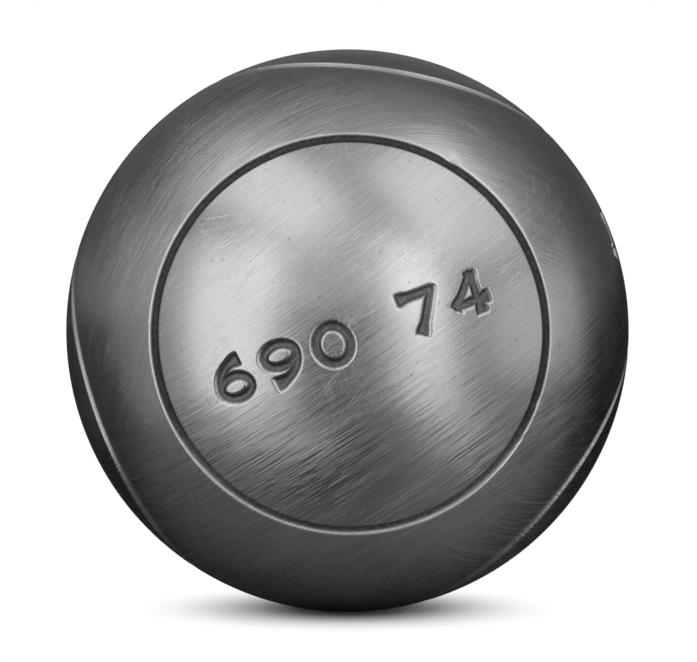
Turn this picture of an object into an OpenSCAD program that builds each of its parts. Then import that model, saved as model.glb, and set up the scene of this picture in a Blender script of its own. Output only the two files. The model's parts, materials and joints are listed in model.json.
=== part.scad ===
// Petanque boule: two forged steel cups joined by a girth weld into a hollow ball,
// turned flush and cut with four equal groove circles.
// The origin is the centre of the ball, +Z is up and the marked side faces -Y.

/* [Ball] */
// Outer diameter of the finished ball
ball_d = 74; // [70.5:0.5:80]
// Wall of both shells
wall_t = 6.05; // [4.5:0.05:8]

/* [Weld] */
// Angle between each bevelled shell edge and the plane of the seam
bevel_angle = 30; // [20:1:40]
// Square edge left below the bevel, measured outwards from the inner wall
root_land = 1.6; // [0.8:0.1:2.5]
// Gap between the two square edges, which the weld fills
root_gap = 0.8; // [0.4:0.1:1.6]
// Width of the bead that comes through on the inside
root_bead_w = 3.2; // [2.4:0.1:4.5]
// Height of that bead above the inner wall
root_bead_h = 0.8; // [0.4:0.1:1.5]

/* [Grooves] */
// Diameter of each groove circle, on the groove's centre line
circle_d = 49.5; // [44:0.1:52]
// Width of a groove at the surface
groove_w = 1.3; // [0.8:0.05:1.8]
// Depth of a groove
groove_depth = 0.5; // [0.3:0.05:0.8]
// Lean of a groove's two sides
groove_flank = 18; // [5:1:25]

/* [Layout of the circles] */
// How far the axis of the first circle points above the horizontal
pattern_lift = 4; // [0:0.5:10]
// How far that axis is turned towards +X
pattern_turn = 0.8; // [-5:0.1:5]
// Turn of the other three circles about that axis
pattern_roll = 51; // [40:1:60]

/* [Hidden] */
$fn = 128;

ball_r = ball_d / 2;
inner_r = ball_r - wall_t;
// How far a cutting shape runs past the surface that it cuts
overrun = 1;

// Radius at which the square edge ends and the bevel begins
land_r = inner_r + root_land;
rim_r = ball_r + overrun;
gap_half = root_gap / 2;
rim_half = gap_half + (rim_r - land_r) * tan(bevel_angle);

// The bead is a round arc through its two edges on the inner wall and its crest
bead_half = root_bead_w / 2;
bead_crest_r = inner_r - root_bead_h;
bead_rise = sqrt(pow(inner_r, 2) - pow(bead_half, 2)) - bead_crest_r;
bead_arc_r = (pow(bead_half, 2) + pow(bead_rise, 2)) / (2 * bead_rise);
// The filler starts inside the bead, half way up it
filler_start_r = inner_r - root_bead_h / 2;

// Angle at the ball's centre between a circle's axis and its groove
circle_polar = asin(circle_d / ball_d);
floor_half = groove_w / 2 - groove_depth * tan(groove_flank);
mouth_half = groove_w / 2 + overrun * tan(groove_flank);
// Four axes that all stand equally far apart, like those of a tetrahedron
circle_count = 4;
axis_angle = acos(-1 / 3);

shell_colour = [0.36, 0.36, 0.37];
weld_colour = [0.43, 0.43, 0.44];

// Space between the two cups: a flat gap that opens into a V towards the outside
module seam_channel() {
    rotate_extrude()
        polygon([
            [0, -gap_half],
            [land_r, -gap_half],
            [rim_r, -rim_half],
            [rim_r, rim_half],
            [land_r, gap_half],
            [0, gap_half]
        ]);
}

// One forged cup with its edge machined for the weld, its pole on +Z
module forged_cup() {
    difference() {
        sphere(r = ball_r);
        sphere(r = inner_r);
        seam_channel();
        translate([0, 0, -rim_r])
            cylinder(r = rim_r, h = rim_r);
    }
}

// Rounded bead that the weld leaves along the inside of the seam
module root_bead() {
    intersection() {
        sphere(r = inner_r);
        rotate_extrude()
            translate([bead_crest_r + bead_arc_r, 0])
                circle(r = bead_arc_r);
    }
}

// Weld metal from the bead out to the surface, turned flush with the ball
module weld_ring() {
    intersection() {
        sphere(r = ball_r);
        difference() {
            seam_channel();
            translate([0, 0, -rim_half])
                cylinder(r = filler_start_r, h = 2 * rim_half);
        }
    }
    root_bead();
}

// One groove around +Z, cut square to the surface
module groove_circle() {
    rotate_extrude()
        translate([ball_r * sin(circle_polar), ball_r * cos(circle_polar)])
            rotate(-circle_polar)
                polygon([
                    [-floor_half, -groove_depth],
                    [floor_half, -groove_depth],
                    [mouth_half, overrun],
                    [-mouth_half, overrun]
                ]);
}

// The first circle goes round -Y and the others round the three axes behind it
module groove_pattern() {
    rotate([-pattern_lift, 0, pattern_turn])
        rotate([0, -pattern_roll, 0]) {
            rotate([90, 0, 0])
                groove_circle();
            for (i = [1:circle_count - 1])
                rotate([0, i * 360 / (circle_count - 1), 0])
                    rotate([axis_angle + 90, 0, 0])
                        groove_circle();
        }
}

module front_shell() {
    color(shell_colour)
        difference() {
            rotate([90, 0, 0])
                forged_cup();
            groove_pattern();
        }
}

module rear_shell() {
    color(shell_colour)
        difference() {
            rotate([-90, 0, 0])
                forged_cup();
            groove_pattern();
        }
}

module seam_weld() {
    color(weld_colour)
        difference() {
            rotate([90, 0, 0])
                weld_ring();
            groove_pattern();
        }
}

front_shell();
rear_shell();
seam_weld();
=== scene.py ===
"""Petanque boule in bare brushed steel: two welded cups with grooves, struck numbers and wear.

The relief of the surface is worked out in millimetres, and each mesh is made in metres.
"""
import json
import math

import bpy
import numpy as np
from mathutils import Matrix, Vector, geometry


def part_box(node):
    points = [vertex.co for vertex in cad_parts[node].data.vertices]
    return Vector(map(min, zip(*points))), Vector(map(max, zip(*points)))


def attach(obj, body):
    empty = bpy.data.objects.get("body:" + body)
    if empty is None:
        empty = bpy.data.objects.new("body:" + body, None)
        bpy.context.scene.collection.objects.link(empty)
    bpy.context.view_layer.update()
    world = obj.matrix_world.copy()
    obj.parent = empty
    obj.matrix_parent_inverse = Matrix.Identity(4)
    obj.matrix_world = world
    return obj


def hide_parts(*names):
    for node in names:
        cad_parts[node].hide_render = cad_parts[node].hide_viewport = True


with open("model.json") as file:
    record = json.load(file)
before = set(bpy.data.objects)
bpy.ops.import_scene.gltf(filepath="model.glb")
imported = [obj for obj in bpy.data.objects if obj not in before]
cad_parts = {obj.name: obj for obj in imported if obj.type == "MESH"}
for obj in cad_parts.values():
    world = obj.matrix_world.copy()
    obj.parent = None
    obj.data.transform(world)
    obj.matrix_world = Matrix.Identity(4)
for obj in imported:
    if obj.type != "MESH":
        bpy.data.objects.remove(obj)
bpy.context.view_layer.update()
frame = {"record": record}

MM = 0.001

# The ball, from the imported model
BALL_R = max(frame["record"]["size"]["bbox_m"]) / 2 / MM
WELD_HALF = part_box("seam_weld")[1].y / MM

# Cross-section of the shells and the weld, in mm
WALL = 6.05
ROOT_LAND = 1.6
ROOT_GAP_HALF = 0.4
BEAD_HALF = 1.6
BEAD_RISE = 0.8
INNER_R = BALL_R - WALL
LAND_R = INNER_R + ROOT_LAND

# Groove circles, in mm and degrees
CIRCLE_D = 49.6
GROOVE_HALF = 0.65
GROOVE_DEPTH = 0.5
GROOVE_FLANK = 18
PATTERN_LIFT = 4
PATTERN_TURN = 0.8
PATTERN_ROLL = 51
CIRCLE_POLAR = math.asin(CIRCLE_D / 2 / BALL_R)
AXIS_ANGLE = math.acos(-1 / 3)

# The photograph's frame and where the ball stands in it, in pixels
FRAME_W = 697
FRAME_H = 662
BALL_PIXEL_X = 347.46
BALL_PIXEL_Y = 330.6
BALL_PIXEL_R = 281.3
SENSOR_W = 36
CAMERA_LIFT = math.radians(5)
CAMERA_RADII = 17
FOCAL_PIXELS = BALL_PIXEL_R * math.sqrt(CAMERA_RADII ** 2 - 1)

SEED = 74
rng = np.random.default_rng(SEED)


def unit(vectors):
    """Each vector at length one."""
    vectors = np.asarray(vectors, float)
    return vectors / np.linalg.norm(vectors, axis=-1, keepdims=True)


def from_camera(vector):
    """A direction given as right, up and towards the camera, in the object's own frame."""
    right, up, near = vector
    sine, cosine = math.sin(CAMERA_LIFT), math.cos(CAMERA_LIFT)
    return np.array([right, up * sine - near * cosine, up * cosine + near * sine])


def seen_at(pixel_x, pixel_y):
    """Direction from the ball's centre to the surface that shows at a pixel of the photograph."""
    ray = np.array([
        (pixel_x - BALL_PIXEL_X) / FOCAL_PIXELS,
        (BALL_PIXEL_Y - pixel_y) / FOCAL_PIXELS,
        -1,
    ])
    eye = np.array([0, 0, CAMERA_RADII])
    half_b = ray @ eye
    squared = ray @ ray
    depth = (-half_b - math.sqrt(half_b ** 2 - squared * (eye @ eye - 1))) / squared
    return unit(from_camera(eye + depth * ray))


def smooth_clamp(x, sharpness):
    """Rises from 0 at x = 0 to 1 at x = 1 with rounded corners."""
    low = np.logaddexp(0, sharpness * x)
    high = np.logaddexp(0, sharpness * (x - 1))
    return (low - high) / sharpness


# Grooves

GROOVE_WEAR = 0.04
GROOVE_RUN = GROOVE_DEPTH * math.tan(math.radians(GROOVE_FLANK)) + 2 * GROOVE_WEAR
GROOVE_EDGE_SHARPNESS = 3
# Waves of the cutter's path: how many in a turn, and how high in mm
GROOVE_WAVES = ((2, 0.012), (5, 0.008), (11, 0.005), (23, 0.004))
GROOVE_LIP_RISE = 0.006
# Width in mm and strength of the lip, which also sets its painted highlight: round the marked circle, and
# round the others
RING_LIP = (0.11, 0.5)
OTHER_GROOVE_LIP = (0.55, 1.0)


def groove_frames():
    """One rotation for each groove circle, which turns +Z onto the circle's axis."""
    layout = (
        Matrix.Rotation(math.radians(PATTERN_TURN), 3, "Z")
        @ Matrix.Rotation(math.radians(-PATTERN_LIFT), 3, "X")
        @ Matrix.Rotation(math.radians(-PATTERN_ROLL), 3, "Y")
    )
    frames = [layout @ Matrix.Rotation(math.radians(90), 3, "X")]
    for i in range(3):
        spin = Matrix.Rotation(math.radians(120 * (i + 1)), 3, "Y")
        tip = Matrix.Rotation(AXIS_ANGLE + math.radians(90), 3, "X")
        frames.append(layout @ spin @ tip)
    return [np.array(f) for f in frames]


GROOVES = groove_frames()
FRONT_AXIS = GROOVES[0][:, 2]
groove_phases = rng.uniform(0, 2 * math.pi, (len(GROOVES), len(GROOVE_WAVES)))


def groove_wander(turn, index):
    """How far in mm one groove strays from its circle, at each turn round its axis."""
    return sum(
        size * np.sin(count * turn + phase)
        for (count, size), phase in zip(GROOVE_WAVES, groove_phases[index])
    )


def groove_offset(directions, index):
    """Distance in mm from the centre line of one groove, positive away from its axis."""
    local = directions @ GROOVES[index]
    polar = np.arctan2(np.hypot(local[:, 0], local[:, 1]), local[:, 2])
    turn = np.arctan2(local[:, 1], local[:, 0])
    return (polar - CIRCLE_POLAR) * BALL_R - groove_wander(turn, index)


def groove_share(offset):
    """0 outside a groove and 1 on its floor, with worn edges."""
    inside = GROOVE_HALF + GROOVE_WEAR - np.abs(offset)
    return smooth_clamp(inside / GROOVE_RUN, GROOVE_EDGE_SHARPNESS)


def groove_lip(offset, index):
    """How strong the raised lip along the outer side of a groove is; the same share sets its painted
    highlight.
    """
    width, strength = RING_LIP if index == 0 else OTHER_GROOVE_LIP
    away = np.where(offset > 0, offset - GROOVE_HALF - 2 * GROOVE_WEAR, np.inf)
    return strength * np.exp(-(away / width) ** 2)


# Struck numbers: strokes are paths in shares of a digit's width and height

STROKE_HALF = 0.73
STROKE_FLARE = 0.36
FLARE_REACH = 0.85
END_REACH = 0.6
END_ROUNDING = 0.3
STAMP_DEPTH = 0.55
STAMP_RUN = 0.46
STAMP_EDGE_SHARPNESS = 5.5
STAMP_LIP_RISE = 0.005
STAMP_LIP_WIDTH = 0.1
# How strongly the lip round the digits is painted bright: a painted highlight
STAMP_LIP_STRENGTH = 0.15
ARC_STEPS = 24
MARKS = (
    # digits; in mm their height, width, gap and space; the pixel of the middle; the slope in degrees
    dict(text="690 74", height=4.75, width=4.3, gap=2.6, space=5.0, pixel=(352, 338), slant=20),
    dict(text="110", height=5.4, width=3.4, gap=2.6, space=0, pixel=None, slant=-20),
)
# The mark without a pixel: its middle in the camera's frame, how much of the grime and painted
# shade it holds, and the cosine of the angle round its middle within which that counts
SIDE_MARK_MIDDLE = (0.94, 0.31, 0.0)
SIDE_MARK_GRIME_AND_SHADE = 0.25
SIDE_MARK_REACH = 0.9


def arc(middle_x, middle_y, radius_x, radius_y, start, end):
    """Points along part of an ellipse, from one angle to another in degrees."""
    turn = np.radians(np.linspace(start, end, ARC_STEPS + 1))
    return np.stack([middle_x + radius_x * np.cos(turn), middle_y + radius_y * np.sin(turn)], 1)


def path(*points):
    return np.array(points, float)


# Each stroke is a path and whether its start and its end are free
DIGITS = {
    "0": [(arc(0.5, 0.5, 0.5, 0.5, 0, 360), False, False)],
    "1": [
        (path((0.2, 0.78), (0.5, 1)), True, False),
        (path((0.5, 1), (0.5, 0)), True, False),
        (path((0.2, 0), (0.8, 0)), True, True),
    ],
    "4": [
        (path((0.72, 1), (0, 0.3)), False, True),
        (path((0, 0.3), (1, 0.3)), False, True),
        (path((0.72, 1), (0.72, 0)), True, True),
    ],
    "6": [
        (arc(0.5, 0.3, 0.5, 0.3, 0, 360), False, False),
        (arc(0.9, 0.3, 0.9, 0.7, 180, 98), False, True),
    ],
    "7": [(path((0, 1), (1, 1)), True, False), (path((1, 1), (0.35, 0)), False, True)],
    "9": [
        (arc(0.5, 0.7, 0.5, 0.3, 0, 360), False, False),
        (arc(0.1, 0.7, 0.9, 0.7, 0, -82), False, True),
    ],
}


def box_edge(first, second, rounding):
    """How far inside two edges at a right angle, whose corner is rounded."""
    first, second = rounding - first, rounding - second
    outside = np.hypot(np.maximum(first, 0), np.maximum(second, 0))
    return rounding - outside - np.minimum(np.maximum(first, second), 0)


def stroke_edge(points, stroke):
    """How far inside a stroke's edge each point lies, in mm; outside it is negative."""
    line, free_start, free_end = stroke
    steps = np.diff(line, axis=0)
    lengths = np.hypot(steps[:, 0], steps[:, 1])
    away = points[:, None] - line[:-1]
    share = (away * steps).sum(2) / lengths ** 2
    low, high = np.zeros(len(steps)), np.ones(len(steps))
    low[0] = -END_REACH / lengths[0] if free_start else 0
    high[-1] += END_REACH / lengths[-1] if free_end else 0
    share = np.clip(share, low, high)
    off = away - share[..., None] * steps
    nearest = np.hypot(off[..., 0], off[..., 1]).argmin(1)
    rows = np.arange(len(points))
    off = off[rows, nearest]
    heading = (steps / lengths[:, None])[nearest]
    before = np.concatenate([[0], np.cumsum(lengths)])
    along = before[nearest] + share[rows, nearest] * lengths[nearest]
    past = np.abs((off * heading).sum(1))
    across = np.abs(off[:, 0] * heading[:, 1] - off[:, 1] * heading[:, 0])
    half = np.full(len(points), STROKE_HALF)
    from_end = np.full(len(points), np.inf)
    if free_start:
        from_end = np.minimum(from_end, along)
    if free_end:
        from_end = np.minimum(from_end, lengths.sum() - along)
    half += STROKE_HALF * STROKE_FLARE * np.exp(-(np.maximum(from_end, 0) / FLARE_REACH) ** 2)
    at_tip = from_end < STROKE_HALF
    to_tip = np.where(at_tip, from_end, 0) + END_REACH - past
    square_edge = box_edge(half - across, to_tip, END_ROUNDING)
    return np.where(at_tip, square_edge, half - np.hypot(off[:, 0], off[:, 1]))


def mark_frame(mark):
    """Axes of one line of digits: along its baseline, up its digits and out of the surface."""
    if mark["pixel"] is None:
        out = unit(from_camera(SIDE_MARK_MIDDLE))
        along = np.cross((0, 0, 1), out)
    else:
        out = seen_at(*mark["pixel"])
        along = from_camera((1, 0, 0))
    along = unit(along - out * (along @ out))
    up = np.cross(out, along)
    slant = math.radians(mark["slant"])
    turned = along * math.cos(slant) + up * math.sin(slant)
    return np.stack([turned, np.cross(out, turned), out], 1)


def mark_strokes(mark):
    """Every stroke of one line of digits in mm, with the line's middle at the origin."""
    strokes = []
    x = 0
    for letter in mark["text"]:
        if letter == " ":
            x += mark["space"]
            continue
        for line, free_start, free_end in DIGITS[letter]:
            strokes.append((line * (mark["width"], mark["height"]) + (x, 0), free_start, free_end))
        x += mark["width"] + mark["gap"]
    middle = ((x - mark["gap"]) / 2, mark["height"] / 2)
    return [(line - middle, free_start, free_end) for line, free_start, free_end in strokes]


STRUCK = [(mark_frame(mark), mark_strokes(mark)) for mark in MARKS]


def flat_on(directions, axes):
    """Places in mm on the surface round a mark, along its baseline and up its digits."""
    local = directions @ axes
    across = np.arctan2(local[:, 0], local[:, 2])
    up = np.arcsin(np.clip(local[:, 1], -1, 1))
    return np.stack([across, up], 1) * BALL_R


def stamp_edge(directions):
    """How far inside the nearest struck stroke each point lies, in mm."""
    edge = np.full(len(directions), -BALL_R)
    for axes, strokes in STRUCK:
        flat = flat_on(directions, axes)
        for stroke in strokes:
            margin = 2 * STROKE_HALF + STAMP_RUN
            low, high = stroke[0].min(0) - margin, stroke[0].max(0) + margin
            near = ((flat > low) & (flat < high)).all(1) & (directions @ axes[:, 2] > 0)
            if near.any():
                edge[near] = np.maximum(edge[near], stroke_edge(flat[near], stroke))
    return edge


# Nicks and shallow dents from play

NICK_COUNT = 44
NICK_SIZES = (0.1, 0.3)
NICK_DEPTH_SHARE = 0.07
NICK_DEPTH_SPREAD = (0.4, 1)
# In radii: how far a nick reaches, and how far the evenly spread points keep from it
NICK_REACH = 3
NICK_CLEAR = 2
PLACED_NICKS = (
    # pixel in the photograph, radius in mm, depth in mm
    ((450, 160), 0.8, 0.2),
    ((538, 401), 0.7, 0.18),
    ((620, 274), 0.3, 0.05),
    ((601, 217), 0.25, 0.05),
    ((500, 402), 0.3, 0.03),
    ((379, 249), 0.22, 0.02),
)


def make_nicks():
    """Middle, radius and depth of every nick."""
    middles = unit(rng.normal(size=(NICK_COUNT, 3)))
    sizes = rng.uniform(*NICK_SIZES, NICK_COUNT)
    depths = sizes * NICK_DEPTH_SHARE * rng.uniform(*NICK_DEPTH_SPREAD, NICK_COUNT)
    pixels, placed_sizes, placed_depths = zip(*PLACED_NICKS)
    placed_middles = [seen_at(*pixel) for pixel in pixels]
    return (
        np.concatenate([placed_middles, middles]),
        np.concatenate([placed_sizes, sizes]),
        np.concatenate([placed_depths, depths]),
    )


NICKS, NICK_RADII, NICK_DEPTHS = make_nicks()


def nick_share(directions):
    """Depth in mm of the nicks at each direction."""
    depth = np.zeros(len(directions))
    for middle, radius, most in zip(NICKS, NICK_RADII, NICK_DEPTHS):
        squared = ((directions - middle) ** 2).sum(1) * BALL_R ** 2
        near = squared < (NICK_REACH * radius) ** 2
        depth[near] += most * np.exp(-squared[near] / radius ** 2)
    return depth


# The whole relief

def relief(directions):
    """Height in mm above the ball, and the shares of groove, other grooves, stamp and lip; stamp carries
    grime and painted shade, lip a painted highlight.
    """
    groove = np.zeros(len(directions))
    other_grooves = np.zeros(len(directions))
    lip = np.zeros(len(directions))
    for index in range(len(GROOVES)):
        offset = groove_offset(directions, index)
        share = groove_share(offset)
        groove = np.maximum(groove, share)
        if index > 0:
            other_grooves = np.maximum(other_grooves, share)
        lip = np.maximum(lip, groove_lip(offset, index))
    edge = stamp_edge(directions)
    stamp = smooth_clamp(edge / STAMP_RUN, STAMP_EDGE_SHARPNESS)
    rim = np.exp(-((edge + STAMP_LIP_WIDTH) / STAMP_LIP_WIDTH) ** 2)
    height = (
        GROOVE_LIP_RISE * lip * (1 - groove)
        + STAMP_LIP_RISE * rim * (1 - stamp)
        - GROOVE_DEPTH * groove
        - STAMP_DEPTH * stamp
        - nick_share(directions)
    )
    # The side mark keeps less of the grime and painted shade
    side_mark_axes = STRUCK[1][0]
    near_side_mark = directions @ side_mark_axes[:, 2] > SIDE_MARK_REACH
    grime_and_shade = np.where(near_side_mark, SIDE_MARK_GRIME_AND_SHADE, 1)
    return height, groove, other_grooves, stamp * grime_and_shade, np.maximum(lip, rim * STAMP_LIP_STRENGTH)


SLOPE_STEP = 0.02
NEAR_POLE = 0.9


def surface_normals(directions):
    """Normals of the relief, from its slope in two directions along the surface."""
    helper = np.where(np.abs(directions[:, 2:]) < NEAR_POLE, (0, 0, 1), (1, 0, 0))
    first = unit(np.cross(helper, directions))
    second = np.cross(directions, first)
    step = SLOPE_STEP / BALL_R
    normals = directions.copy()
    for tangent in (first, second):
        ahead = relief(unit(directions + tangent * step))[0]
        behind = relief(unit(directions - tangent * step))[0]
        normals -= tangent * ((ahead - behind) / (2 * SLOPE_STEP))[:, None]
    return unit(normals)


# Points of the meshes: spacings and clear distances in mm

BASE_SPACING = 0.85
GROOVE_POINT_SPACING = 0.36
GROOVE_ROWS = (0, 0.2, 0.34, 0.41, 0.47, 0.53, 0.59, 0.65, 0.71, 0.78, 0.88, 1.05, 1.35)
GROOVE_CLEAR = 1.7
STAMP_SPACING = 0.1
STAMP_CLEAR = 0.45
NUMBER_MARGIN = 1.8
# Rings of points in a nick: how far out in radii, and how many
NICK_RINGS = ((0, 1), (0.5, 6), (1, 10), (1.7, 14))
NICK_HELPER = (0.3, 0.5, 0.8)
NICK_GROOVE_CLEAR = 0.05
# Along the weld's edges, only every so many of the points stay where the relief is plain
SEAM_SPACING = 0.1
SEAM_PLAIN_STEP = 6
SEAM_CLEAR = 0.12
RELIEF_SEEN = 0.002
MERGE_DISTANCE = 1e-7


def spread_points():
    """Evenly spread directions, away from the grooves, digits and nicks."""
    count = int(4 * math.pi * BALL_R ** 2 / (BASE_SPACING ** 2 * math.sqrt(3) / 2))
    index = np.arange(count) + 0.5
    height = 1 - 2 * index / count
    turn = math.pi * (1 + math.sqrt(5)) * index
    flat = np.sqrt(1 - height ** 2)
    points = np.stack([flat * np.cos(turn), flat * np.sin(turn), height], 1)
    keep = stamp_edge(points) < -STAMP_CLEAR - BASE_SPACING / 2
    for groove in range(len(GROOVES)):
        keep &= np.abs(groove_offset(points, groove)) > GROOVE_CLEAR
    for middle, radius in zip(NICKS, NICK_RADII):
        keep &= ((points - middle) ** 2).sum(1) * BALL_R ** 2 > (NICK_CLEAR * radius) ** 2
    return points[keep]


def groove_points():
    """Rows of directions along every groove, close together across its lips and flanks."""
    count = int(math.pi * CIRCLE_D / GROOVE_POINT_SPACING)
    rows = sorted({side * row for row in GROOVE_ROWS for side in (-1, 1)})
    turn = np.arange(count) / count * 2 * math.pi
    made = []
    for index, axes in enumerate(GROOVES):
        wander = groove_wander(turn, index)
        for row in rows:
            polar = CIRCLE_POLAR + (row + wander) / BALL_R
            aside = np.sin(polar)
            local = np.stack([aside * np.cos(turn), aside * np.sin(turn), np.cos(polar)], 1)
            made.append(local @ axes.T)
    points = np.concatenate(made)
    return points[stamp_edge(points) < -STAMP_CLEAR]


def stamp_points():
    """A fine grid over the digits and their lips."""
    made = []
    for axes, strokes in STRUCK:
        low = np.min([stroke[0].min(0) for stroke in strokes], 0) - NUMBER_MARGIN
        high = np.max([stroke[0].max(0) for stroke in strokes], 0) + NUMBER_MARGIN
        x = np.arange(low[0], high[0], STAMP_SPACING)
        y = np.arange(low[1], high[1], STAMP_SPACING)
        grid_x, grid_y = np.meshgrid(x, y)
        across, up = grid_x.ravel() / BALL_R, grid_y.ravel() / BALL_R
        local = np.stack([np.sin(across) * np.cos(up), np.sin(up), np.cos(across) * np.cos(up)], 1)
        points = local @ axes.T
        made.append(points[stamp_edge(points) > -STAMP_CLEAR])
    return np.concatenate(made)


def nick_points():
    """Small rings of directions in and round each nick."""
    made = []
    for middle, radius in zip(NICKS, NICK_RADII):
        first = unit(np.cross(middle, NICK_HELPER))
        second = np.cross(middle, first)
        for reach, count in NICK_RINGS:
            turn = np.arange(count) / count * 2 * math.pi + reach
            ring = np.cos(turn)[:, None] * first + np.sin(turn)[:, None] * second
            made.append(unit(middle + ring * reach * radius / BALL_R))
    points = np.concatenate(made)
    keep = stamp_edge(points) < -STAMP_CLEAR
    for groove in range(len(GROOVES)):
        keep &= np.abs(groove_offset(points, groove)) > GROOVE_ROWS[-1] + NICK_GROOVE_CLEAR
    return points[keep]


def seam_ring(side):
    """Directions round one edge of the weld, close together where the relief crosses it."""
    y = side * WELD_HALF / BALL_R
    flat = math.sqrt(1 - y * y)
    count = int(2 * math.pi * BALL_R / SEAM_SPACING / SEAM_PLAIN_STEP) * SEAM_PLAIN_STEP
    turn = np.arange(count) / count * 2 * math.pi
    points = np.stack([flat * np.cos(turn), np.full(count, y), flat * np.sin(turn)], 1)
    keep = np.abs(relief(points)[0]) > RELIEF_SEEN
    keep = keep | np.roll(keep, 1) | np.roll(keep, -1)
    keep[::SEAM_PLAIN_STEP] = True
    return points[keep]


def flattened(directions, side):
    """Stereographic view of directions from the far pole, which keeps circles round."""
    return np.stack([directions[:, 0], directions[:, 2]], 1) / (1 + side * directions[:, 1:2])


def patch_faces(directions, side, rings):
    """Triangles that face outwards between directions, with the given rings of indices as edges."""
    flat = flattened(directions, side)
    points = [Vector(p) for p in flat]
    edges = [(int(a), int(b)) for ring in rings for a, b in zip(ring, np.roll(ring, -1))]
    made = geometry.delaunay_2d_cdt(points, edges, [], 0, MERGE_DISTANCE, True)
    found, triangles, sources = made[0], np.array(made[2]), made[3]
    if len(found) != len(points):
        raise ValueError("two points of the surface fall together")
    order = np.array([source[0] for source in sources])
    triangles = order[triangles]
    middle = unit(directions[triangles].mean(1))
    corner = directions[triangles]
    facing = (np.cross(corner[:, 1] - corner[:, 0], corner[:, 2] - corner[:, 0]) * middle).sum(1)
    triangles[facing < 0] = triangles[facing < 0][:, ::-1]
    return triangles


def on_one_ring(triangles, rings):
    """Whether all three corners of each triangle lie on the same ring."""
    return np.any([np.isin(triangles, ring).all(1) for ring in rings], axis=0)


# Meshes

INNER_ROWS = 14
# Rows over the weld's bead, as shares of the way from its crest to its foot and of its half width
BEAD_ROWS = ((0.35, 0.75), (0.08, 0.36))


def root_profile():
    """Radius and distance from the seam's plane, in mm, of the root's outer and inner edge."""
    inner = math.sqrt(INNER_R ** 2 - ROOT_GAP_HALF ** 2)
    return [(LAND_R, ROOT_GAP_HALF), (inner, ROOT_GAP_HALF)]


def shell_profile():
    """Radius and distance from the seam's plane, in mm, of a shell's hidden rows."""
    rows = root_profile()
    start = math.asin(ROOT_GAP_HALF / INNER_R)
    for i in range(1, INNER_ROWS):
        angle = start + (math.pi / 2 - start) * i / INNER_ROWS
        rows.append((INNER_R * math.cos(angle), INNER_R * math.sin(angle)))
    return rows


def weld_profile():
    """Radius and distance from the seam's plane, in mm, of the weld's hidden rows."""
    foot = math.sqrt(INNER_R ** 2 - BEAD_HALF ** 2)
    crest = INNER_R - BEAD_RISE
    rows = root_profile() + [(foot, BEAD_HALF)]
    for rise, reach in BEAD_ROWS:
        rows.append((crest + (foot - crest) * rise, BEAD_HALF * reach))
    return rows


def ring_places(ring, radius, distance, side):
    """The directions of a seam ring moved to another radius and distance from the seam's plane."""
    flat = unit(ring * (1, 0, 1))
    return flat * radius + np.array([0, side * distance, 0])


class Surface:
    """Places and faces of one closed piece, filled in step by step."""

    def __init__(self):
        self.places = []
        self.faces = []
        self.count = 0

    def add(self, places):
        """Adds places in mm and gives their indices."""
        self.places.append(places)
        self.count += len(places)
        return np.arange(self.count - len(places), self.count)

    def bridge(self, first, second, flip):
        """Quads between two rings of as many points."""
        ahead_first, ahead_second = np.roll(first, -1), np.roll(second, -1)
        quads = np.stack([first, ahead_first, ahead_second, second], 1)
        self.faces.append(quads[:, ::-1] if flip else quads)


def outer_directions():
    """Every direction where the outer surface has a point, apart from the weld's edges."""
    return np.concatenate([spread_points(), groove_points(), stamp_points(), nick_points()])


def make_piece(name, inside, rings, side):
    """One closed piece: its outer surface from the relief, then its hidden faces."""
    surface = Surface()
    directions = np.concatenate([inside, *rings])
    ends = np.cumsum([len(inside)] + [len(ring) for ring in rings])
    ring_indices = [np.arange(low, high) for low, high in zip(ends, ends[1:])]
    height, *shares = relief(directions)
    surface.add(directions * (BALL_R + height)[:, None])
    triangles = patch_faces(directions, side, ring_indices)
    if len(rings) > 1:
        triangles = triangles[~on_one_ring(triangles, ring_indices)]
    surface.faces.append(triangles)
    close_piece(surface, rings, ring_indices, side)
    normals = surface_normals(directions)
    return finish_mesh(name, surface, normals, len(triangles), ring_indices, shares)


def close_piece(surface, rings, ring_indices, side):
    """Adds the faces that the assembled ball hides."""
    if len(rings) == 1:
        last = ring_indices[0]
        flip = side < 0
        for radius, distance in shell_profile():
            row = surface.add(ring_places(rings[0], radius, distance, side))
            surface.bridge(last, row, flip)
            last = row
        pole = surface.add(np.array([[0, side * INNER_R, 0]]))[0]
        fan = np.stack([last, np.roll(last, -1), np.full(len(last), pole)], 1)
        surface.faces.append(fan[:, ::-1] if flip else fan)
        return
    crests = []
    for ring, indices, edge in zip(rings, ring_indices, (-1, 1)):
        last = indices
        for radius, distance in weld_profile():
            row = surface.add(ring_places(ring, radius, distance, edge))
            surface.bridge(last, row, edge > 0)
            last = row
        crests.append(last)
    join_rings(surface, rings, crests)


def join_rings(surface, rings, crests):
    """Triangles over the crest of the weld's bead, between rings with other counts of points."""
    turns = [np.unwrap(np.arctan2(ring[:, 2], ring[:, 0])) for ring in rings]
    a, b = 0, 0
    faces = []
    count_a, count_b = len(crests[0]), len(crests[1])
    while a < count_a or b < count_b:
        turn_a = turns[0][a % count_a] + 2 * math.pi * (a // count_a)
        turn_b = turns[1][b % count_b] + 2 * math.pi * (b // count_b)
        here_a, here_b = crests[0][a % count_a], crests[1][b % count_b]
        if b >= count_b or (a < count_a and turn_a <= turn_b):
            a += 1
            faces.append((here_a, crests[0][a % count_a], here_b))
        else:
            b += 1
            faces.append((here_a, crests[1][b % count_b], here_b))
    surface.faces.append(np.array(faces))


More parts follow.
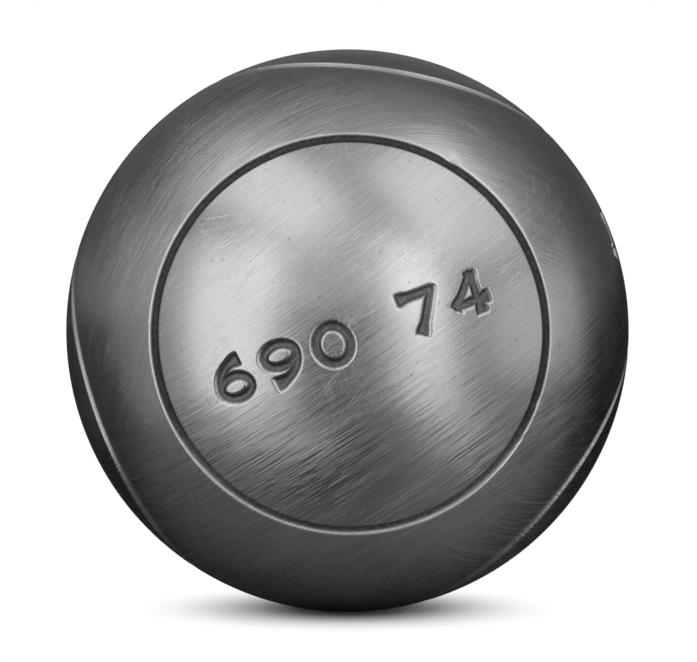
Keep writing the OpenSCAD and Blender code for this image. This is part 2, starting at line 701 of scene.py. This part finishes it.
def mark_sharp(mesh, rings):
    """Sharp edges along the weld's edges, so that hidden faces don't shade the outer surface."""
    on_ring = np.zeros(len(mesh.vertices), int)
    for index, ring in enumerate(rings):
        on_ring[ring] = index + 1
    ends = np.zeros(2 * len(mesh.edges), np.int32)
    mesh.edges.foreach_get("vertices", ends)
    first, second = on_ring[ends[::2]], on_ring[ends[1::2]]
    sharp = mesh.attributes.new("sharp_edge", "BOOLEAN", "EDGE")
    sharp.data.foreach_set("value", (first > 0) & (first == second))


def finish_mesh(name, surface, normals, outer_faces, ring_indices, shares):
    """The Blender object of one piece, with exact normals on its outer surface."""
    places = np.concatenate(surface.places) * MM
    faces = [face for block in surface.faces for face in block.tolist()]
    mesh = bpy.data.meshes.new(name)
    mesh.from_pydata(places.tolist(), [], faces)
    mesh.polygons.foreach_set("use_smooth", np.ones(len(faces), bool))
    mark_sharp(mesh, ring_indices)
    corner_points = np.zeros(len(mesh.loops), np.int32)
    mesh.loops.foreach_get("vertex_index", corner_points)
    corner_normals = np.zeros((len(mesh.loops), 3))
    outer_corners = 3 * outer_faces
    corner_normals[:outer_corners] = normals[corner_points[:outer_corners]]
    mesh.normals_split_custom_set(corner_normals.tolist())
    for label, share in zip(("groove", "other_groove", "stamp", "lip"), shares):
        values = np.zeros(len(places))
        values[:len(share)] = share
        mesh.attributes.new(label, "FLOAT", "POINT").data.foreach_set("value", values)
    piece = bpy.data.objects.new(name, mesh)
    bpy.context.scene.collection.objects.link(piece)
    return piece


def make_pieces():
    """The two shells and the weld, which share the points along the weld's edges."""
    directions = outer_directions()
    y = directions[:, 1] * BALL_R
    front_ring, rear_ring = seam_ring(-1), seam_ring(1)
    front = directions[y < -WELD_HALF - SEAM_CLEAR]
    rear = directions[y > WELD_HALF + SEAM_CLEAR]
    band = directions[np.abs(y) < WELD_HALF - SEAM_CLEAR]
    return (
        make_piece("front_cup", front, [front_ring], -1),
        make_piece("rear_cup", rear, [rear_ring], 1),
        make_piece("girth_weld", band, [front_ring, rear_ring], -1),
    )


# Materials

STEEL_COLOUR = 0.15
WELD_COLOUR = 0.156
STEEL_EDGE_TINT = (0.5, 0.5, 0.5, 1)
STEEL_ROUGHNESS = 0.27
BUMP_HEIGHT = 0.045


def leaning(degrees, near):
    """An axis in the camera's frame that leans to the left of straight up."""
    turn = math.radians(degrees)
    return (-math.sin(turn), math.cos(turn), near)


# Brush lines
PASSES = {
    # axis in the camera's frame that the pass runs round, length of its lines in mm, where its
    # noise starts, and shares of its fine and its broad lines
    "left": ((1.28, -0.72, 1.0), 4, 0.0, 0.65, 0.35),
    "right": ((0.164, 1, -0.213), 8, 0.1, 0.3, 0.12),
    "low": (leaning(34.5, 0.1), 9, 0.2, 0.2, 0.05),
    "low_other": ((0.8, 0.5, 0.5), 9, 0.25, 0.2, 0.05),
    "high": (leaning(40, 0.0), 9, 0.3, 0.3, 0.12),
    "top": ((0.35, -0.2, 0.9), 7, 0.35, 0.5, 0.25),
    "rear": ((0.5, 0.8, -0.6), 9, 0.4, 0.2, 0.05),
    "rear_other": ((-0.8, 0.6, 0.1), 9, 0.45, 0.2, 0.05),
}
# Sorts of lines in a pass: width in mm, length against the pass's own, start and detail
HAIR_LINES = (0.11, 1.0, 0.0, 1)
FINE_LINES = (0.22, 1.3, 0.3, 1)
BROAD_LINES = (0.7, 1.5, 0.6, 0)
HAIR_CONTRAST = (0.28, 0.72)
NOISE_MEAN = 0.5
# Cosines between which a pass gives way to its other one, near its own axis
CROSSING = (0.6, 0.85)

# Parts of the ball that differ in their lines, roughness, grime or painted light
PARTS = {
    # direction in the camera's frame, and the cosines between which the part fades in
    "right": ((0.94, 0.34, 0.0), 0.1, 0.4),
    "top": ((0.2, 0.97, 0), -0.05, 0.25),
    "low": ((0.3, -0.95, 0), -0.05, 0.3),
    "crown": ((0.1, 0.99, 0.1), 0.4, 0.66),
    "pocked": ((0.18, 1, 0), -0.1, 0.08),
    "coarse": ((0, -1, 0), 0.12, 0.4),
    "bottom": ((0, -1, 0), 0.62, 0.8),
    "past_left": ((1, 0, 0), -0.45, 0.1),
    "far_right": ((1, 0, 0), 0.6, 0.8),
    # The lower part, where the grooves and their lips are painted lighter: painted light on walls that
    # face up
    "lower_painted_light": ((0, -1, 0), 0.25, 0.55),
}
REAR_COSINES = (-0.1, 0.25)
# In radians, how softly the parts inside and outside the marked circle meet in its groove
RING_FADE = 0.008

# How deep the lines are: on the smooth lower left, on the pocked upper left, in the lower half,
# in the upper half of the marked circle, elsewhere, far right, at the bottom, and on the left of
# the marked circle
SMOOTH_DEPTH = 0.48
POCKED_DEPTH = 1.0
LOW_DEPTH = 0.88
RING_TOP_DEPTH = 0.22
PLAIN_DEPTH = 0.37
RIGHT_DEPTH = 0.25
BOTTOM_DEPTH = 1.6
RING_LEFT_DEPTH = 0.17
# Added roughness on the lower and on the upper left
LEFT_ROUGHNESS = (0.03, 0.09)

# Single scratches
SCRATCHES = (
    # axis in the camera's frame, length and width in mm, threshold of the noise
    ((-0.52, 0.85, 0.15), 6, 0.09, 0.72),
    ((-0.3, 0.95, 0.3), 8, 0.08, 0.74),
    ((-0.75, 0.6, -0.2), 5, 0.08, 0.74),
    ((0.95, 0.28, 0.15), 4, 0.08, 0.755),
    ((0.6, 0.8, -0.05), 5, 0.08, 0.765),
)
SCRATCH_START = 0.7
SCRATCH_STEP = 0.2
SCRATCH_EDGE = 0.06
SCRATCH_LEAST = 0.2

# Noise without a direction, and the ranges of its values that count
PATCHES = dict(scale=140, detail=1)
PATCH_RANGE = (0.35, 0.65)
BLOTCHES = dict(scale=110, detail=3, roughness=0.6)
GRAIN = dict(scale=2600, detail=3, roughness=0.65)
GRAIN_RANGE = (0.35, 0.65)
SPECKS = dict(scale=1700, detail=0)
SPECK_RANGE = (0.78, 0.86)

# How much each mark changes the tone, the roughness and the height of the steel
LINE_TONE = 0.8
BLOTCH_TONE = 0.22
SCRATCH_TONE = 0.3
SPECK_TONE = -0.3
LINE_ROUGHNESS = 0.2
BLOTCH_ROUGHNESS = 0.1
LIP_ROUGHNESS = 0.08
SCRATCH_HEIGHT = -0.2
SPECK_HEIGHT = -0.15
RUBBED_LIP = 0.4
# Painted highlight on the lips: how bright a lip is painted, elsewhere and in the lower part painted
# lighter
LIP_HIGHLIGHT_TONE = (0.5, 2.2)

# Grime and painted shade in the recesses
RECESS_COLOUR = 0.022
RECESS_ROUGHNESS = 0.6
# Depth shares at which it starts and is full, elsewhere and in the lower part painted lighter
GRIME_AND_SHADE_START = (0.08, 0.35)
GRIME_AND_SHADE_FULL = (0.55, 0.95)
# How much lighter the recesses are painted in the lower part: painted light
LOWER_RECESS_LIGHT = 3.2
# The other three grooves: the share at which they count, and how much of the grime and painted shade they
# keep
OTHER_GROOVE_START = 0.2
OTHER_GROOVE_GRIME_AND_SHADE = 0.4
STAMP_RANGE = (0.15, 0.7)
STAMP_GRIME_AND_SHADE = 0.8
# Darkest and lightest tone of its grain, in grooves and in the digits
GROOVE_GRAIN_TONES = (0.7, 1.3)
STAMP_GRAIN_TONES = (0.35, 1.8)


def new_material(name):
    """An empty material and its nodes."""
    material = bpy.data.materials.new(name)
    material.use_nodes = True
    return material, Nodes(material.node_tree)


class Nodes:
    """Short calls that add shader nodes to one tree."""

    def __init__(self, tree):
        self.tree = tree
        self.tree.nodes.clear()

    def add(self, kind, inputs=None, **settings):
        """A node with its settings, and its inputs as sockets or values."""
        node = self.tree.nodes.new(kind)
        for name, value in settings.items():
            setattr(node, name, value)
        for key, value in (inputs or {}).items():
            if isinstance(value, bpy.types.NodeSocket):
                self.tree.links.new(value, node.inputs[key])
            else:
                node.inputs[key].default_value = value
        return node

    def math(self, operation, *values):
        """One operation on plain numbers."""
        return self.add("ShaderNodeMath", dict(enumerate(values)), operation=operation).outputs[0]

    def total(self, start, *terms):
        """A start value plus terms, each of them a value and its weight."""
        for value, weight in terms:
            start = self.math("MULTIPLY_ADD", value, weight, start)
        return start

    def rest(self, share):
        """What a share leaves of the whole."""
        return self.math("SUBTRACT", 1.0, share)

    def centred(self, value):
        """Noise moved so that it lies about 0."""
        return self.math("SUBTRACT", value, NOISE_MEAN)

    def spread(self, value, low, high, to_low=0.0, to_high=1.0):
        """A value moved from one range to another."""
        inputs = {"Value": value, "From Min": low, "From Max": high, "To Min": to_low, "To Max": to_high}
        return self.add("ShaderNodeMapRange", inputs, interpolation_type="SMOOTHSTEP").outputs["Result"]

    def mix(self, share, first, second):
        """Plain numbers mixed by a share."""
        return self.add("ShaderNodeMix", {0: share, 2: first, 3: second}, data_type="FLOAT").outputs[0]

    def attribute(self, name):
        return self.add("ShaderNodeAttribute", attribute_name=name).outputs["Fac"]

    def vector(self, operation, *values, output=0):
        """One operation on vectors."""
        node = self.add("ShaderNodeVectorMath", dict(enumerate(values)), operation=operation)
        return node.outputs[output]

    def noise(self, vector, detail, scale=1.0, roughness=0.5):
        inputs = {"Vector": vector, "Scale": scale, "Detail": detail, "Roughness": roughness}
        return self.add("ShaderNodeTexNoise", inputs).outputs["Fac"]

    def grey(self, value):
        """A colour of one grey."""
        return self.add("ShaderNodeCombineColor", {0: value, 1: value, 2: value}).outputs[0]


def aligned(axis):
    """Euler angles that turn +Z onto an axis."""
    return Vector(axis).normalized().to_track_quat("Z", "Y").to_euler()


def stretched(nodes, place, axis, length, width, start):
    """Coordinates for marks of one length and width, which run round an axis."""
    sizes = (length * MM, length * MM, width * MM)
    inputs = {"Vector": place, "Location": (start,) * 3, "Rotation": aligned(axis), "Scale": sizes}
    return nodes.add("ShaderNodeMapping", inputs, vector_type="TEXTURE").outputs["Vector"]


def brush_lines(nodes, place, name):
    """Fine lines left by one pass of the abrasive: their height, about 0.5."""
    axis, length, start, fine_share, broad_share = PASSES[name]
    lines = []
    for width, longer, later, detail in (HAIR_LINES, FINE_LINES, BROAD_LINES):
        along = stretched(nodes, place, from_camera(axis), length * longer, width, start + later)
        lines.append(nodes.noise(along, detail))
    hair, fine, broad = lines
    crisp = nodes.spread(hair, *HAIR_CONTRAST)
    return nodes.mix(broad_share, nodes.mix(fine_share, crisp, fine), broad)


def crossed_lines(nodes, place, heading, name, other):
    """One pass, and another one where the first would run in small rings round its axis."""
    axis = Vector(from_camera(PASSES[name][0])).normalized()
    near = side_share(nodes, heading, axis, *CROSSING)
    far = side_share(nodes, heading, -axis, *CROSSING)
    first, second = brush_lines(nodes, place, name), brush_lines(nodes, place, other)
    return nodes.mix(nodes.math("MAXIMUM", near, far), first, second)


def side_share(nodes, heading, direction, low, high):
    """0 to 1 as the surface turns towards a direction."""
    facing = nodes.vector("DOT_PRODUCT", heading, tuple(direction), output="Value")
    return nodes.spread(facing, low, high)


def find_parts(nodes, heading):
    """The share of each part of the ball that has lines, grime, painted light or roughness of its own."""
    parts = {}
    for name, (direction, low, high) in PARTS.items():
        parts[name] = side_share(nodes, heading, from_camera(direction), low, high)
    ring_edge = (math.cos(CIRCLE_POLAR + RING_FADE), math.cos(CIRCLE_POLAR - RING_FADE))
    parts["ring"] = side_share(nodes, heading, FRONT_AXIS, *ring_edge)
    parts["rear"] = side_share(nodes, heading, (0, 1, 0), *REAR_COSINES)
    outside = nodes.math("MULTIPLY", nodes.rest(parts["ring"]), nodes.rest(parts["right"]))
    parts["left"] = nodes.math("MULTIPLY", outside, nodes.rest(parts["rear"]))
    return parts


def all_passes(nodes, place, heading, parts):
    """The lines of every pass, each on its own part: their height, about 0.5."""
    left, right = brush_lines(nodes, place, "left"), brush_lines(nodes, place, "right")
    high, top = brush_lines(nodes, place, "high"), brush_lines(nodes, place, "top")
    low = crossed_lines(nodes, place, heading, "low", "low_other")
    rear = crossed_lines(nodes, place, heading, "rear", "rear_other")
    sides = nodes.mix(parts["crown"], nodes.mix(parts["right"], left, right), top)
    outside = nodes.mix(parts["low"], sides, low)
    inside = nodes.mix(parts["top"], low, high)
    return nodes.mix(parts["rear"], nodes.mix(parts["ring"], outside, inside), rear)


def line_depth(nodes, parts):
    """How deep the lines are on each part."""
    depth = nodes.mix(parts["past_left"], RING_LEFT_DEPTH, PLAIN_DEPTH)
    depth = nodes.mix(parts["far_right"], depth, RIGHT_DEPTH)
    depth = nodes.mix(nodes.math("MULTIPLY", parts["ring"], parts["top"]), depth, RING_TOP_DEPTH)
    depth = nodes.mix(parts["coarse"], depth, LOW_DEPTH)
    depth = nodes.mix(parts["bottom"], depth, BOTTOM_DEPTH)
    return nodes.mix(parts["left"], depth, nodes.mix(parts["pocked"], SMOOTH_DEPTH, POCKED_DEPTH))


def all_scratches(nodes, place):
    """Sparse scratches in several directions: 1 in a scratch, and fewer in some places."""
    found = 0.0
    for index, (axis, length, width, least) in enumerate(SCRATCHES):
        start = SCRATCH_START + index * SCRATCH_STEP
        along = stretched(nodes, place, from_camera(axis), length, width, start)
        line = nodes.spread(nodes.noise(along, 0), least, least + SCRATCH_EDGE)
        found = nodes.math("MAXIMUM", line, found)
    patches = nodes.spread(nodes.noise(place, **PATCHES), *PATCH_RANGE, SCRATCH_LEAST, 1.0)
    return nodes.math("MULTIPLY", found, patches)


def recess_shares(nodes, parts):
    """How much grime and painted shade hide the steel in every recess, and in the digits alone."""
    clear = nodes.mix(parts["lower_painted_light"], *GRIME_AND_SHADE_START)
    full = nodes.mix(parts["lower_painted_light"], *GRIME_AND_SHADE_FULL)
    groove = nodes.spread(nodes.attribute("groove"), clear, full)
    other_grooves = nodes.spread(nodes.attribute("other_groove"), 0.0, OTHER_GROOVE_START)
    groove = nodes.math("MULTIPLY", groove, nodes.spread(other_grooves, 0.0, 1.0, 1.0, OTHER_GROOVE_GRIME_AND_SHADE))
    stamp = nodes.spread(nodes.attribute("stamp"), *STAMP_RANGE, 0.0, STAMP_GRIME_AND_SHADE)
    return nodes.math("MAXIMUM", groove, stamp), stamp


def grime_and_shade_tone(nodes, parts, grain, stamp, colour):
    """Tone of the grime and painted shade against a steel's colour, painted lighter in the lower part."""
    share = RECESS_COLOUR / colour
    least, most = (
        nodes.mix(stamp, share * in_groove, share * in_stamp)
        for in_groove, in_stamp in zip(GROOVE_GRAIN_TONES, STAMP_GRAIN_TONES)
    )
    dark = nodes.spread(grain, *GRAIN_RANGE, least, most)
    return nodes.math("MULTIPLY", dark, nodes.mix(parts["lower_painted_light"], 1.0, LOWER_RECESS_LIGHT))


def boule_steel(name, colour):
    """Bare steel, brushed in crossing passes, darker and rougher in its grooves and numbers."""
    material, nodes = new_material(name)
    place = nodes.add("ShaderNodeTexCoord").outputs["Object"]
    heading = nodes.vector("NORMALIZE", place)
    parts = find_parts(nodes, heading)
    lines = nodes.centred(all_passes(nodes, place, heading, parts))
    lines = nodes.math("MULTIPLY", lines, line_depth(nodes, parts))
    scratch = all_scratches(nodes, place)
    blotch = nodes.centred(nodes.noise(place, **BLOTCHES))
    grain = nodes.noise(place, **GRAIN)
    specks = nodes.spread(nodes.noise(place, **SPECKS), *SPECK_RANGE)
    lip = nodes.attribute("lip")
    recess, stamp = recess_shares(nodes, parts)

    tone = nodes.total(
        1.0,
        (lines, LINE_TONE),
        (blotch, BLOTCH_TONE),
        (scratch, SCRATCH_TONE),
        (specks, SPECK_TONE),
        # Painted highlight along the lips, stronger on the lower part of the ball
        (lip, nodes.mix(parts["lower_painted_light"], *LIP_HIGHLIGHT_TONE)),
    )
    # Grime and painted shade darken the grooves and digits
    tone = nodes.mix(recess, tone, grime_and_shade_tone(nodes, parts, grain, stamp, colour))

    left_rough = nodes.math("MULTIPLY", parts["left"], nodes.mix(parts["pocked"], *LEFT_ROUGHNESS))
    rough = nodes.total(
        nodes.math("ADD", left_rough, STEEL_ROUGHNESS),
        (lines, LINE_ROUGHNESS),
        (blotch, BLOTCH_ROUGHNESS),
        (lip, LIP_ROUGHNESS),
    )

    height = nodes.total(lines, (scratch, SCRATCH_HEIGHT), (specks, SPECK_HEIGHT))
    rubbed = nodes.math("MAXIMUM", recess, nodes.spread(lip, 0.0, RUBBED_LIP))
    height = nodes.mix(rubbed, height, nodes.math("MULTIPLY", grain, recess))
    bump = nodes.add("ShaderNodeBump", {"Strength": 1.0, "Distance": BUMP_HEIGHT * MM, "Height": height})

    shader = nodes.add("ShaderNodeBsdfPrincipled", {
        "Base Color": nodes.grey(nodes.math("MULTIPLY", tone, colour)),
        "Metallic": 1.0,
        "Roughness": nodes.mix(recess, rough, RECESS_ROUGHNESS),
        "Specular Tint": STEEL_EDGE_TINT,
        "Normal": bump.outputs["Normal"],
    })
    nodes.add("ShaderNodeOutputMaterial", {"Surface": shader.outputs[0]})
    return material


# Studio

WHITE = (1, 1, 1, 1)
WORLD_FILL = 0.0
DISC_CORNERS = 128
CLIP_START = 0.01

# The floor: sizes in mm, where it fades to white, and how much sooner it does so in depth
FLOOR_Z = -BALL_R
FLOOR_R = 80
FLOOR_WHITE = (6, 29)
FLOOR_WHITE_DEPTH = 1.3
FLOOR_COLOUR = (0.82, 0.82, 0.82, 1)

LAMP_DISTANCE = 400
LAMPS = (
    # name; in degrees how far to the right and up, width, height and lean; radiance
    ("left_box", -46, 4, 38, 64, 5, 3.65),
    ("right_box", 29, 5, 21, 66, 5, 4.1),
    ("left_top", -60, 57, 64, 26, 0, 2.75),
    ("right_top", 64, 50, 40, 46, 0, 2.5),
    ("overhead", 0, 58, 76, 84, 0, 0.65),
    ("front_fill", 2, 32, 76, 38, 0, 0.5),
    ("right_side", 82, 4, 50, 34, 0, 1.5),
    ("left_side", -90, 18, 44, 28, 0, 0.6),
)
CARDS = (
    # name; in degrees how far to the right and up, width and height; distance in mm; radiance
    ("right_low_card", 126, -19, 70, 42, 500, 0.04),
    ("right_high_card", 109, 13, 36, 24, 500, 0.52),
    ("right_back_card", 145, 14, 38, 24, 500, 0.33),
    ("left_card", -124, -15, 46, 30, 500, 0.14),
    ("back_left_card", -176, -10, 60, 42, 490, 0.03),
    ("back_card", 180, 32.5, 110, 45, 500, 0.5),
    ("left_back_card", -145, 37, 70, 56, 480, 0.38),
    ("camera_card", 0, -16, 44, 52, 750, 0.6),
)

# The card over the floor: greys in front and behind, shares of them on the left and the right,
# in a painted dark spot in front and a painted shadow round the contact, and in mm where each of them
# runs out
FLOOR_CARD_LIFT = 0.3
FLOOR_CARD_FRONT = 0.42
FLOOR_CARD_BACK = 0.05
FLOOR_CARD_TURN = 25
FLOOR_CARD_LEFT = 0.85
FLOOR_CARD_RIGHT = 1.3
FLOOR_CARD_SIDE = 30
FLOOR_SPOT = (-11, -60, 0)
FLOOR_SPOT_RUN = (8.7, 29)
FLOOR_SPOT_TONE = 0.1
CONTACT_SHADOW_RUN = (2, 17)
CONTACT_SHADOW_TONE = 0.1


def camera_ray_share(nodes):
    """1 for rays that should see the white backdrop: from the camera, or through gloss or glass."""
    rays = nodes.add("ShaderNodeLightPath")
    seen = nodes.math("MAXIMUM", rays.outputs["Is Camera Ray"], rays.outputs["Is Glossy Ray"])
    return nodes.math("MAXIMUM", seen, rays.outputs["Is Transmission Ray"])


def make_world():
    """White where it is seen, and dark for the soft light, which the lamps give."""
    world = bpy.data.worlds.new("studio")
    world.use_nodes = True
    nodes = Nodes(world.node_tree)
    strength = nodes.mix(camera_ray_share(nodes), WORLD_FILL, 1.0)
    background = nodes.add("ShaderNodeBackground", {"Color": WHITE, "Strength": strength})
    nodes.add("ShaderNodeOutputWorld", {"Surface": background.outputs[0]})
    bpy.context.scene.world = world


def level_disc(name, height):
    """A disc round the ball's axis at a height in mm, and the nodes of its empty material."""
    bpy.ops.mesh.primitive_circle_add(
        vertices=DISC_CORNERS, radius=FLOOR_R * MM, fill_type="NGON", location=(0, 0, height * MM)
    )
    disc = bpy.context.object
    disc.name = name
    material, nodes = new_material(name)
    disc.data.materials.append(material)
    return disc, nodes


def distance_share(nodes, distance, run, start=0.0, end=1.0):
    """A value that goes from its start to its end along a run of distances in mm."""
    return nodes.spread(distance, run[0] * MM, run[1] * MM, start, end)


def make_floor():
    """A pale disc that keeps the ball's shadow and fades into the white backdrop."""
    floor, nodes = level_disc("studio_floor", FLOOR_Z)
    place = nodes.add("ShaderNodeTexCoord").outputs["Object"]
    oval = nodes.vector("MULTIPLY", place, (1, FLOOR_WHITE_DEPTH, 1))
    away = distance_share(nodes, nodes.vector("LENGTH", oval, output="Value"), FLOOR_WHITE)
    diffuse = nodes.add("ShaderNodeBsdfDiffuse", {"Color": FLOOR_COLOUR})
    glow = nodes.add("ShaderNodeEmission", {"Color": WHITE, "Strength": 1.0})
    seen = nodes.math("MULTIPLY", camera_ray_share(nodes), away)
    surface = nodes.add("ShaderNodeMixShader", {0: seen, 1: diffuse.outputs[0], 2: glow.outputs[0]})
    nodes.add("ShaderNodeOutputMaterial", {"Surface": surface.outputs[0]})


def only_in_gloss(card):
    """Keeps a card out of the picture and of the soft light, so that only gloss shows it."""
    card.visible_camera = False
    card.visible_diffuse = False
    card.visible_transmission = False
    card.visible_shadow = False


def make_floor_card():
    """A card over the floor that the ball's lower half mirrors, darker behind, with a painted dark spot
    in front and a painted shadow round the contact.
    """
    card, nodes = level_disc("floor_card", FLOOR_Z + FLOOR_CARD_LIFT)
    place = nodes.add("ShaderNodeTexCoord").outputs["Object"]
    split = nodes.add("ShaderNodeSeparateXYZ", {0: place})
    depth, aside = split.outputs["Y"], split.outputs["X"]
    spot = [length * MM for length in FLOOR_SPOT]
    from_spot = nodes.vector("DISTANCE", place, spot, output="Value")
    from_middle = nodes.vector("LENGTH", place, output="Value")
    front_to_back = (-FLOOR_CARD_TURN, FLOOR_CARD_TURN)
    grey = distance_share(nodes, depth, front_to_back, FLOOR_CARD_FRONT, FLOOR_CARD_BACK)
    # Among these shares: the painted dark spot and the painted shadow round the contact
    for distance, run, start, end in (
        (aside, (-FLOOR_CARD_SIDE, 0), FLOOR_CARD_LEFT, 1.0),
        (aside, (0, FLOOR_CARD_SIDE), 1.0, FLOOR_CARD_RIGHT),
        (from_spot, FLOOR_SPOT_RUN, FLOOR_SPOT_TONE, 1.0),
        (from_middle, CONTACT_SHADOW_RUN, CONTACT_SHADOW_TONE, 1.0),
    ):
        grey = nodes.math("MULTIPLY", grey, distance_share(nodes, distance, run, start, end))
    diffuse = nodes.add("ShaderNodeBsdfDiffuse", {"Color": nodes.grey(grey)})
    nodes.add("ShaderNodeOutputMaterial", {"Surface": diffuse.outputs[0]})
    only_in_gloss(card)


def facing_ball(turn, lift, lean, distance):
    """Where a lamp or card stands, by degrees to the camera's right and up, facing the ball."""
    turn, lift = math.radians(turn), math.radians(lift)
    heading = Vector((math.sin(turn) * math.cos(lift), -math.cos(turn) * math.cos(lift), math.sin(lift)))
    place = heading * distance * MM
    turned = (-place).to_track_quat("-Z", "Y").to_matrix().to_4x4()
    return Matrix.Translation(place) @ turned @ Matrix.Rotation(math.radians(lean), 4, "Z")


def seen_size(degrees, distance):
    """Length in metres that fills an angle at a distance in mm."""
    return 2 * distance * MM * math.tan(math.radians(degrees / 2))


def make_lamps():
    """Soft boxes that face the ball."""
    for name, turn, lift, width, height, lean, radiance in LAMPS:
        data = bpy.data.lights.new(name, "AREA")
        data.shape = "RECTANGLE"
        data.size = seen_size(width, LAMP_DISTANCE)
        data.size_y = seen_size(height, LAMP_DISTANCE)
        data.energy = radiance * math.pi * data.size * data.size_y
        lamp = bpy.data.objects.new(name, data)
        lamp.matrix_world = facing_ball(turn, lift, lean, LAMP_DISTANCE)
        lamp.visible_camera = False
        bpy.context.scene.collection.objects.link(lamp)


def make_cards():
    """Grey cards that the ball mirrors in place of the white world."""
    for name, turn, lift, width, height, distance, radiance in CARDS:
        half_x, half_y = seen_size(width, distance) / 2, seen_size(height, distance) / 2
        corners = [(-half_x, -half_y, 0), (half_x, -half_y, 0), (half_x, half_y, 0), (-half_x, half_y, 0)]
        mesh = bpy.data.meshes.new(name)
        mesh.from_pydata(corners, [], [(0, 1, 2, 3)])
        material, nodes = new_material(name)
        shade = nodes.add("ShaderNodeEmission", {"Color": WHITE, "Strength": radiance})
        nodes.add("ShaderNodeOutputMaterial", {"Surface": shade.outputs[0]})
        mesh.materials.append(material)
        card = bpy.data.objects.new(name, mesh)
        card.matrix_world = facing_ball(turn, lift, 0, distance)
        bpy.context.scene.collection.objects.link(card)
        only_in_gloss(card)


def make_camera():
    """The photograph's view of the ball."""
    data = bpy.data.cameras.new("camera")
    data.sensor_width = SENSOR_W
    data.lens = FOCAL_PIXELS / FRAME_W * SENSOR_W
    data.shift_x = (FRAME_W / 2 - BALL_PIXEL_X) / FRAME_W
    data.shift_y = (BALL_PIXEL_Y - FRAME_H / 2) / FRAME_W
    data.clip_start = CLIP_START
    camera = bpy.data.objects.new("camera", data)
    camera.location = from_camera((0, 0, CAMERA_RADII * BALL_R * MM))
    camera.rotation_euler = (math.pi / 2 - CAMERA_LIFT, 0, 0)
    bpy.context.scene.collection.objects.link(camera)
    bpy.context.scene.camera = camera


def make_ball():
    """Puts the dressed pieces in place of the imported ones."""
    front, rear, weld = make_pieces()
    shell_steel = boule_steel("shell_steel", STEEL_COLOUR)
    weld_steel = boule_steel("weld_steel", WELD_COLOUR)
    for piece, node, material, slot in (
        (front, "front_shell", shell_steel, "shell_steel"),
        (rear, "rear_shell", shell_steel, "shell_steel"),
        (weld, "seam_weld", weld_steel, "weld_steel"),
    ):
        piece.data.materials.append(material)
        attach(piece, "root")
        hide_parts(node)


make_camera()
make_ball()
make_floor()
make_floor_card()
make_world()
make_lamps()
make_cards()
bpy.context.scene.view_settings.view_transform = "Standard"
